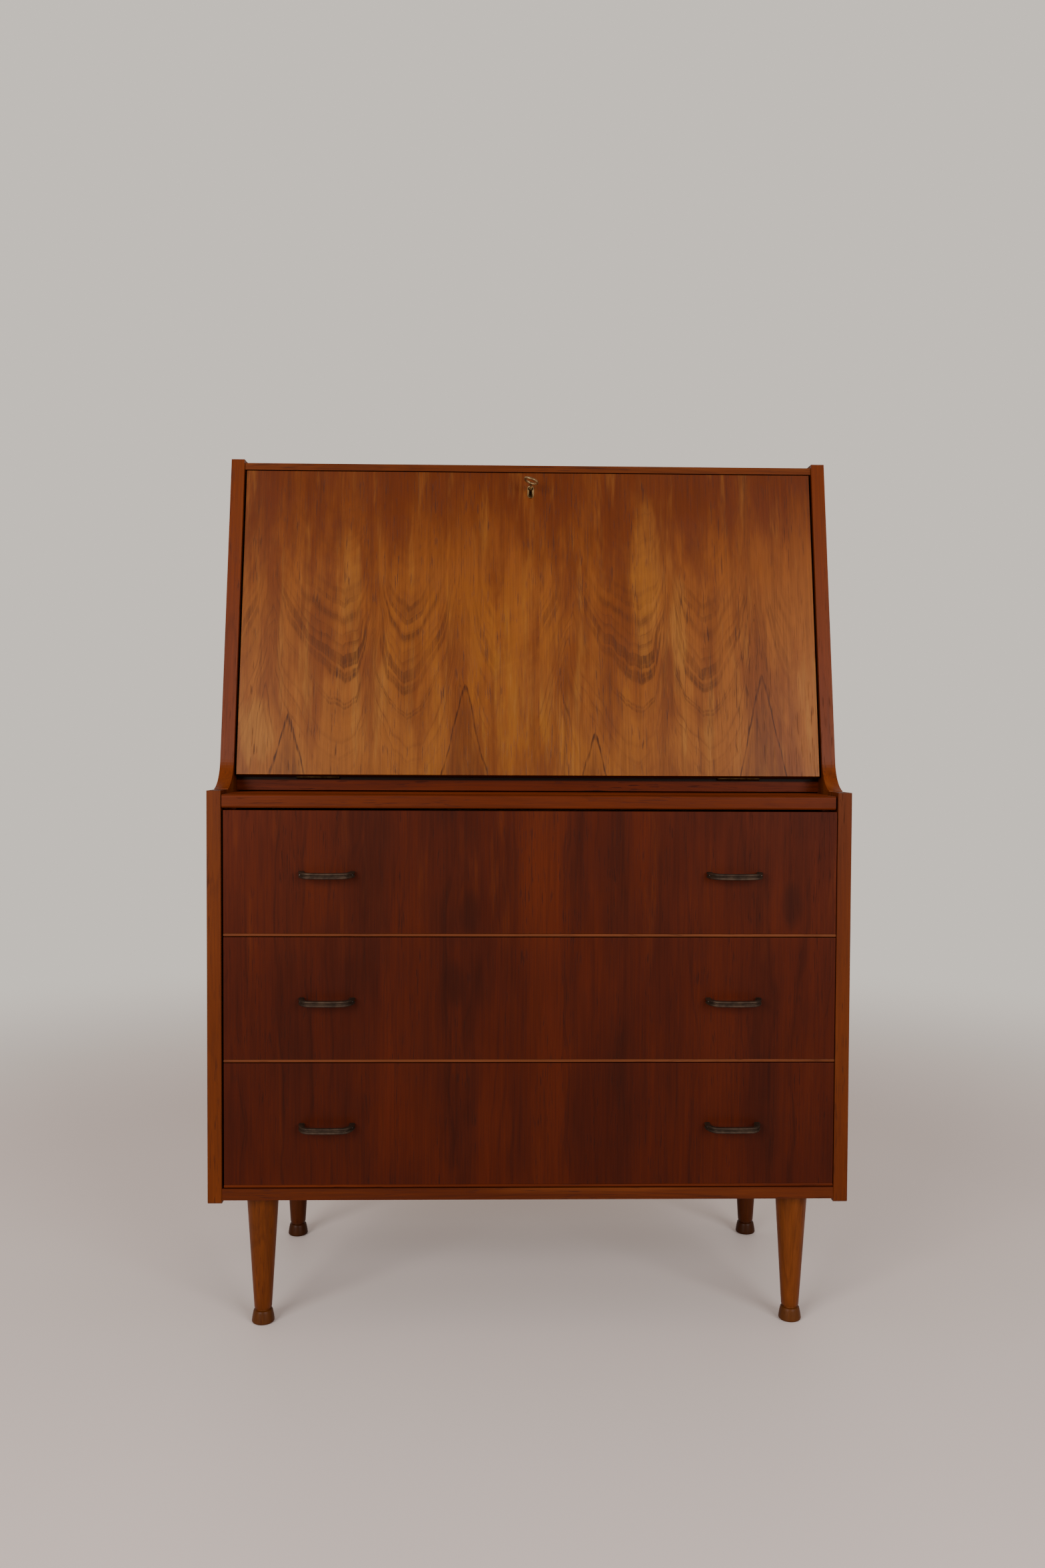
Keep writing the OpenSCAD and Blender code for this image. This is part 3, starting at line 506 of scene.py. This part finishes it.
BY_NODE = {"bottom_panel": "bottom", "upper_floor": "floor_panel", "top_board": "top",
           "slide_board": "slide_top", "slide_edge": "lipping_x", "slide_bearers": "inside",
           "pigeonhole_shelf": "inside", "flap_lippings": "lipping_x", "cheek_lippings": "lipping_slope",
           # The hinges are darkened as painted shade in the gap under the flap
           "hinge_leaves_flap": "shade_dark_brass", "hinge_leaves_floor": "shade_dark_brass", "hinge_pins": "shade_dark_brass"}
# The back legs take the leg_back finish, darkened as painted shade
for hand in ("left", "right"):
    BY_NODE[f"leg_back_{hand}"] = "leg_back"
for number in (1, 2, 3):
    BY_NODE[f"drawer_{number}_lipping"] = "drawer_edge" if number < 3 else "lipping_x"
    BY_NODE[f"drawer_{number}_back"] = "pale_x"
    BY_NODE[f"drawer_{number}_bottom"] = "ply_x"


def finish_of(node):
    """The material of a CAD node and of the pieces that stand in for it."""
    return MATERIALS[BY_NODE.get(node, BY_SLOT[SLOT_OF[node]])]


def dress(obj, material):
    obj.data.materials.clear()
    obj.data.materials.append(material)


for name, obj in NODES.items():
    dress(obj, finish_of(name))


# ---- Making pieces ----

def new_piece(name, mesh, body, material, replaced=()):
    """A piece that rides on a body and, where it stands in for CAD nodes, replaces them."""
    piece = bpy.data.objects.new(name, mesh)
    bpy.context.scene.collection.objects.link(piece)
    dress(piece, material)
    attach(piece, body)
    if replaced:
        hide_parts(*replaced)


def mesh_from(name, vertices, faces, smooth_under=None):
    """A mesh with its normals outward, smooth across edges gentler than smooth_under degrees."""
    mesh = bpy.data.meshes.new(name)
    mesh.from_pydata([tuple(v) for v in vertices], [], faces)
    shape = bmesh.new()
    shape.from_mesh(mesh)
    bmesh.ops.recalc_face_normals(shape, faces=shape.faces)
    shape.to_mesh(mesh)
    shape.free()
    if smooth_under is not None:
        mesh.polygons.foreach_set("use_smooth", [True] * len(mesh.polygons))
        mesh.set_sharp_from_angle(angle=math.radians(smooth_under))
    return mesh


def eased(node, radius, chosen=lambda low, high, middle: True):
    """The CAD node's own shape with its long outer arrises rounded over, standing in for the node."""
    low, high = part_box(node)
    shape = bmesh.new()
    shape.from_mesh(NODES[node].data)
    bmesh.ops.remove_doubles(shape, verts=shape.verts, dist=2e-6)
    bmesh.ops.dissolve_limit(shape, angle_limit=math.radians(0.5), verts=shape.verts, edges=shape.edges)
    arrises = [e for e in shape.edges
               if len(e.link_faces) == 2 and e.is_convex and e.calc_length() > 12 * MM
               and e.calc_face_angle(0) > math.radians(40)
               and chosen(low, high, (e.verts[0].co + e.verts[1].co) / 2)]
    bmesh.ops.bevel(shape, geom=arrises, offset=radius, segments=3, profile=0.5, affect="EDGES",
                    clamp_overlap=False)
    bmesh.ops.triangulate(shape, faces=[f for f in shape.faces if len(f.verts) > 4])
    mesh = bpy.data.meshes.new(node + "_eased")
    shape.to_mesh(mesh)
    shape.free()
    new_piece(node + "_eased", mesh, BODY_OF[node], finish_of(node), [node])


def near_front(low, high, middle):
    """Chooses the arrises along a node's front."""
    return middle.y < low.y + 1 * MM


def sweep(name, stations, section, closed=False, smooth_under=40):
    """Carries a section along stations of (centre, across, up). The section may differ at each station."""
    vertices = []
    for k, (centre, across, up) in enumerate(stations):
        for a, b in section(k):
            vertices.append(centre + across * a + up * b)
    count, rows = len(section(0)), len(stations)
    faces = []
    for r in range(rows if closed else rows - 1):
        here, there = r * count, (r + 1) % rows * count
        for k in range(count):
            after = (k + 1) % count
            faces.append((here + k, here + after, there + after, there + k))
    if not closed:
        faces += [tuple(range(count)), tuple(range((rows - 1) * count, rows * count))]
    return mesh_from(name, vertices, faces, smooth_under)


def lathe(name, profile, place, segments=96, smooth_under=35):
    """Turns (radius, height) points about the z axis of the matrix place. The ends lie on the axis."""
    vertices = [Vector((0, 0, profile[0][1]))]
    for radius, height in profile[1:-1]:
        for k in range(segments):
            angle = 2 * math.pi * k / segments
            vertices.append(Vector((radius * math.cos(angle), radius * math.sin(angle), height)))
    vertices.append(Vector((0, 0, profile[-1][1])))
    rings = len(profile) - 2
    faces = [(0, 1 + (k + 1) % segments, 1 + k) for k in range(segments)]
    for r in range(rings - 1):
        a, b = 1 + r * segments, 1 + (r + 1) * segments
        faces += [(a + k, a + (k + 1) % segments, b + (k + 1) % segments, b + k) for k in range(segments)]
    last, base = len(vertices) - 1, 1 + (rings - 1) * segments
    faces += [(last, base + k, base + (k + 1) % segments) for k in range(segments)]
    return mesh_from(name, [place @ v for v in vertices], faces, smooth_under)


def turn_points(cx, cy, radius, start, end, steps):
    """Points round an arc, from start to end in degrees."""
    angles = [math.radians(start + (end - start) * i / steps) for i in range(steps + 1)]
    return [(cx + radius * math.cos(a), cy + radius * math.sin(a)) for a in angles]


# ---- Boards with eased arrises ----

for node in ("side_left", "side_right", "cheek_left", "cheek_right"):
    eased(node, 0.25 * MM)
for node in ("bottom_panel", "upper_floor", "top_board", "pigeonhole_shelf", "slide_board"):
    eased(node, 0.4 * MM, near_front)
eased("side_lippings", 1.0 * MM, near_front)
for node in ("back_lower", "back_upper", "pigeonhole_dividers", "flap_lippings"):
    eased(node, 0.3 * MM)
eased("flap_panel", 0.45 * MM)
for number in (1, 2, 3):
    eased(f"drawer_{number}_front", 0.5 * MM)
    eased(f"drawer_{number}_lipping", 0.9 * MM)
    for part in ("sides", "back"):
        eased(f"drawer_{number}_{part}", 0.8 * MM)
eased("slide_edge", 0.5 * MM)


# ---- Legs ----

# In millimetres, like the pulls and the key below
LEG_TOP_R = 22.3
LEG_H = 186
NECK_R = 12.1
SHOE_R = 15.6
TAPER_FROM = 21.9
TAPER_TO = LEG_H - 0.6


def add_leg(node):
    """A turned, tapering leg with a cut groove over its shoe."""
    low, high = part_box(node)
    profile = [(0, 0), (SHOE_R - 3, 0), *turn_points(SHOE_R - 3, 3, 3, -60, 12, 6), (15.1, 7), (14.5, 10.5),
               (13.7, 14.5), (13.1, 17), (12.5, 17.9), (11.4, 18.3), (10.0, 18.7), (9.8, 19.6), (9.9, 20.6),
               (10.6, 21.1), (11.7, 21.3), (NECK_R, TAPER_FROM)]
    for k in range(1, 13):
        share = k / 12
        profile.append((NECK_R + (LEG_TOP_R - NECK_R) * share, TAPER_FROM + (TAPER_TO - TAPER_FROM) * share))
    profile += [(LEG_TOP_R - 0.3, LEG_H), (0, LEG_H)]
    middle = (low + high) / 2
    place = Matrix.Translation((middle.x, middle.y, 0)) @ Matrix.Scale(MM, 4)
    new_piece(node + "_turned", lathe(node + "_turned", profile, place), BODY_OF[node], finish_of(node),
              [node])


for near in ("front", "back"):
    for side in ("left", "right"):
        add_leg(f"leg_{near}_{side}")


# ---- Pulls ----

# Half of the bar's section, top to middle: thickness out from its centre line, height up
PULL_SECTION = ((-2.2, 3.5), (-1.7, 4.1), (0.8, 4.1), (1.6, 3.8), (2.15, 3.2), (2.3, 2.5), (2.1, 1.6),
                (1.5, 0.9), (0.6, 0.5), (0.4, 0.0))
PULL_FACE = 2.3
PULL_END = 2.35
PULL_SAG = 0.5
PULL_SWEEP = 13
PULL_TURNS = 14


def add_pull(node):
    """A cast bar with two ridges and a groove, its ends swept back and thickened down to the wood."""
    low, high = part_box(node)
    middle = (low + high) / 2
    half = (high.x - low.x) / 2 / MM
    reach = (high.y - low.y) / MM
    bar = reach - PULL_FACE
    foot = half - PULL_END
    line = []
    for k in range(PULL_TURNS + 1):
        angle = math.pi / 2 * k / PULL_TURNS
        normal = Vector((-bar * math.cos(angle), -PULL_SWEEP * math.sin(angle), 0)).normalized()
        line.append((-foot + PULL_SWEEP * (1 - math.cos(angle)), bar * math.sin(angle), normal))
    line += [(x, bar, Vector((0, -1, 0))) for x in (-16, -8, 0)]
    line += [(-x, depth, Vector((-normal.x, normal.y, 0))) for x, depth, normal in reversed(line[:-1])]
    stations = []
    for x, depth, normal in line:
        sag = PULL_SAG * (2 * (x / half) ** 2 - 1)
        centre = Vector((middle.x + x * MM, high.y - depth * MM, middle.z + sag * MM))
        stations.append((centre, normal * MM, Vector((0, 0, MM))))

    def section(k):
        thick = 1 + 1.5 * (1 - min(line[k][1] / bar, 1)) ** 1.5
        points = [(a * thick if a < 0 else a, b) for a, b in PULL_SECTION]
        return points + [(a, -b) for a, b in reversed(points[:-1])]

    new_piece(node + "_cast", sweep(node + "_cast", stations, section), BODY_OF[node], finish_of(node),
              [node])


for number in (1, 2, 3):
    for side in ("left", "right"):
        add_pull(f"drawer_{number}_pull_{side}")


# ---- Key and escutcheon ----

# The flap's outer face, and how far out of it the bow's middle lies. KEY_FOOT is on the inner face.
FLAP_OUT = 20
BOW_OUT = 29
KEY_FOOT = KEY_AXIS - OUT_OF_FLAP * ((KEY_AXIS - HINGE).dot(OUT_OF_FLAP))
ESCUTCHEON_R = 4.9
ESCUTCHEON_DROP = 10.2
BOW_TURN = math.radians(20)
BOW_HALF = (9.9, 8.6)
WIRE_HALF = (1.45, 1.75)
# The shank's radius and height, and the outline of the bit beside it
SHANK = ((0, 3.5), (1.6, 3.5), (1.9, 3.9), (1.9, 21.6), (2.3, 21.8), (2.5, 22.2), (2.5, 22.8),
         (2.2, 23.2), (1.8, 23.6), (1.7, 24.2), (1.7, 30), (1.8, 36.5), (2.3, 37.4), (2.6, 38.6),
         (2.3, 39.6), (1.6, 40.6), (0, 40.9))
BIT = ((1.4, 4.2), (6.6, 4.2), (6.9, 4.5), (6.9, 6.2), (5.6, 6.4), (5.6, 7.4), (6.9, 7.6), (6.9, 9.5),
       (6.6, 9.8), (1.4, 9.8))
BIT_HALF = 0.9


def key_place(turn=0.0):
    """From key millimetres (right, up the flap, out of it) to where the key stands."""
    right = Vector((1, 0, 0))
    spread = Matrix((right, UP_SLOPE, OUT_OF_FLAP)).transposed().to_4x4()
    return Matrix.Translation(KEY_FOOT) @ spread @ Matrix.Rotation(turn, 4, "Z") @ Matrix.Scale(MM, 4)


def stadium(radius, drop, steps=16):
    """Two half circles, one that far under the other."""
    points = turn_points(0, 0, radius, 0, 180, steps)
    return points + turn_points(0, -drop, radius, 180, 360, steps)


def keyhole(radius, top_half, foot_half, foot, steps=16):
    """A round hole over a slot that widens downwards."""
    angle = math.degrees(math.asin(top_half / radius))
    round_part = turn_points(0, 0, radius, angle - 90, 270 - angle, steps)
    left = []
    for share in (0.2, 0.6, 1.0):
        left.append((-top_half - (foot_half - top_half) * share, -radius + (radius - foot + 1.0) * share))
    base = [(-foot_half * 0.7, -foot), (foot_half * 0.7, -foot)]
    return round_part + left + base + [(-x, y) for x, y in reversed(left)]


def plate(name, outline, hole, levels, material):
    """A plate round a hole; each level says how far out from the hole it lies, and how high."""
    around = [min(outline, key=lambda r: math.hypot(r[0] - x * 1.6, r[1] - y * 1.15 - 0.3)) for x, y in hole]
    place = key_place()
    vertices = []
    for share, height in levels:
        for (rx, ry), (hx, hy) in zip(around, hole):
            point = Vector((hx + (rx - hx) * share, hy + (ry - hy) * share, FLAP_OUT + height))
            vertices.append(place @ point)
    count = len(hole)
    faces = []
    for level in range(len(levels)):
        here, there = level * count, (level + 1) % len(levels) * count
        for k in range(count):
            after = (k + 1) % count
            faces.append((here + k, here + after, there + after, there + k))
    mesh = mesh_from(name, vertices, faces, 30)
    new_piece(name, mesh, "flap", material, ["escutcheon"])


def add_escutcheon():
    """A thin rim let into the flap round a keyhole, over a nearly black plate that paints the keyhole's shade."""
    rim = stadium(ESCUTCHEON_R, ESCUTCHEON_DROP)
    raised = ((1.0, -2.4), (1.0, 0.1), (0.9, 0.3), (0.5, 0.3), (0.2, 0.1), (0.0, -0.4), (0.0, -2.4))
    sunk = ((0.96, -2.9), (0.96, -2.5), (0.0, -2.5), (0.0, -2.9))
    plate("escutcheon_rim", rim, keyhole(3.3, 2.2, 2.9, 12.9), raised, MATERIALS["brass"])
    # The plate behind the keyhole is painted shade
    plate("escutcheon_shade_plate", rim, keyhole(2.3, 1.5, 1.5, 12.0), sunk, MATERIALS["shade_dark_brass"])


def add_key():
    """A turned shank with a collar, an oval ring bow seen half edge-on, and a stepped bit."""
    place = key_place(-BOW_TURN)
    shank = lathe("key_shank", SHANK, place, 40)
    stations = []
    for k in range(48):
        angle = 2 * math.pi * k / 48
        ring = Vector((BOW_HALF[0] * math.cos(angle), 0, FLAP_OUT + BOW_OUT + BOW_HALF[1] * math.sin(angle)))
        out = Vector((math.cos(angle), 0, math.sin(angle)))
        stations.append((place @ ring, place.to_3x3() @ out, place.to_3x3() @ Vector((0, 1, 0))))
    around = [2 * math.pi * j / 16 for j in range(16)]
    wire = [(WIRE_HALF[0] * math.cos(angle), WIRE_HALF[1] * math.sin(angle)) for angle in around]
    bow = sweep("key_bow", stations, lambda k: wire, closed=True)
    edge = [place @ Vector((x, y, z)) for y in (-BIT_HALF, BIT_HALF) for x, z in BIT]
    count = len(BIT)
    faces = [tuple(range(count)), tuple(range(count, 2 * count))]
    faces += [(k, (k + 1) % count, (k + 1) % count + count, k + count) for k in range(count)]
    bit = mesh_from("key_bit", edge, faces)
    for name, mesh in (("key_shank", shank), ("key_bow", bow), ("key_bit", bit)):
        new_piece(name, mesh, "key", MATERIALS["brass"], ["key"])


add_escutcheon()
add_key()


# ---- Hinge screws ----

# The hinges lie this far to each side; their screws are placed along the pin and away from it
HINGE_X = 300
SCREW_ROW = ((-20, 14), (0, 21), (20, 14))
SCREW_R = 3.0
SLOT_HALF = 0.4


def screw_heads(name, places, body):
    """Slotted countersunk heads, each as two halves either side of its slot."""
    vertices, faces = [], []
    for place in places:
        for side in (-1, 1):
            rings = []
            for radius, height in ((SCREW_R, -0.5), (SCREW_R, 0.02), (SCREW_R - 0.5, 0.3)):
                start = len(vertices)
                for x, y in turn_points(0, 0, radius, 0, 180, 12):
                    vertices.append(place @ Vector((x, side * (y + SLOT_HALF), height)))
                rings.append(list(range(start, len(vertices))))
            for low, high in zip(rings, rings[1:]):
                faces += [(low[k - 1], low[k], high[k], high[k - 1]) for k in range(len(low))]
            faces += [tuple(rings[0]), tuple(rings[-1])]
    mesh = mesh_from(name, vertices, faces)
    new_piece(name, mesh, body, MATERIALS["brass"])


def add_hinge_screws():
    """Three screws through each leaf, into the upper floor and into the flap's inner face."""
    on_floor, on_flap = [], []
    for hinge in (-HINGE_X, HINGE_X):
        for number, (x, away) in enumerate(SCREW_ROW):
            twist = Matrix.Rotation(math.radians(35 * number + hinge), 4, "Z")
            foot = HINGE + Vector((hinge + x, 0, 0)) * MM
            size = Matrix.Scale(MM, 4) @ twist
            on_floor.append(Matrix.Translation(foot + Vector((0, away * MM, 0))) @ size)
            facing = Matrix((Vector((1, 0, 0)), -UP_SLOPE, -OUT_OF_FLAP)).transposed().to_4x4()
            on_flap.append(Matrix.Translation(foot + UP_SLOPE * away * MM) @ facing @ size)
    screw_heads("hinge_screws_floor", on_floor, "carcass")
    screw_heads("hinge_screws_flap", on_flap, "flap")


add_hinge_screws()


# ---- Floor and light ----

BACKDROP = (0.84, 0.77, 0.69)
ROOM_LIGHT = (0.62, 0.55, 0.495)
FLOOR_TONES = ((0.655, 0.578, 0.558), (0.685, 0.606, 0.588))
FLOOR_SPAN = 30
# How far from the desk the floor starts and ends its fade
FADE_FROM = 1.0
FADE_TO = 2.9
LAMP_SIZE = (1.8, 1.7)
LAMP_AIM = Vector((0, 0, 0.5))


def add_floor():
    """A pale paper floor that fades into the backdrop's own tone, so that no horizon shows."""
    corners = [(x * FLOOR_SPAN, y * FLOOR_SPAN, 0) for x, y in ((-1, -1), (1, -1), (1, 1), (-1, 1))]
    floor = bpy.data.objects.new("floor", mesh_from("floor", corners, [(0, 1, 2, 3)]))
    bpy.context.scene.collection.objects.link(floor)
    tree = Tree("paper_floor")
    x, y, z = tree.object_axes()
    place = tree.combine(x, y, z)
    cloud = tree.spread(tree.noise(place, 0.8, 3.0, 0.5), 0.35, 0.65)
    tree.bump(tree.noise(place, 240.0, 2.0, 0.5), 0.1, 0.0002)
    tree.surface(tree.mix(cloud, *FLOOR_TONES), 0.55)
    far = tree.spread(tree.math("SQRT", tree.sum_of_squares(x, y)), FADE_FROM, FADE_TO)
    glow = tree.nodes.new("ShaderNodeEmission")
    glow.inputs["Color"].default_value = (*BACKDROP, 1)
    blend = tree.nodes.new("ShaderNodeMixShader")
    tree.put(blend.inputs[0], far)
    tree.links.new(tree.shader.outputs[0], blend.inputs[1])
    tree.links.new(glow.outputs[0], blend.inputs[2])
    tree.links.new(blend.outputs[0], tree.nodes["Material Output"].inputs["Surface"])
    dress(floor, tree.material)


def add_light(name, place, power, colour):
    data = bpy.data.lights.new(name, "AREA")
    data.shape = "RECTANGLE"
    data.size, data.size_y = LAMP_SIZE
    data.energy = power
    data.color = colour
    lamp = bpy.data.objects.new(name, data)
    bpy.context.scene.collection.objects.link(lamp)
    aim = (LAMP_AIM - Vector(place)).to_track_quat("-Z", "Y")
    lamp.matrix_world = Matrix.Translation(place) @ aim.to_matrix().to_4x4()


def add_world():
    """The backdrop as it is seen, and a dimmer room that lights the desk and shows in its sheen."""
    world = bpy.data.worlds.new("studio")
    bpy.context.scene.world = world
    world.use_nodes = True
    nodes, links = world.node_tree.nodes, world.node_tree.links
    seen = nodes["Background"]
    seen.inputs["Color"].default_value = (*BACKDROP, 1)
    room = nodes.new("ShaderNodeBackground")
    room.inputs["Color"].default_value = (*ROOM_LIGHT, 1)
    path = nodes.new("ShaderNodeLightPath")
    blend = nodes.new("ShaderNodeMixShader")
    links.new(path.outputs["Is Camera Ray"], blend.inputs[0])
    links.new(room.outputs[0], blend.inputs[1])
    links.new(seen.outputs[0], blend.inputs[2])
    links.new(blend.outputs[0], nodes["World Output"].inputs["Surface"])


add_floor()
add_world()
add_light("front_left", (-2.1, -3.2, 1.6), 122, (1.0, 0.965, 0.91))
add_light("front_right", (2.1, -3.3, 1.6), 104, (1.0, 0.985, 0.96))
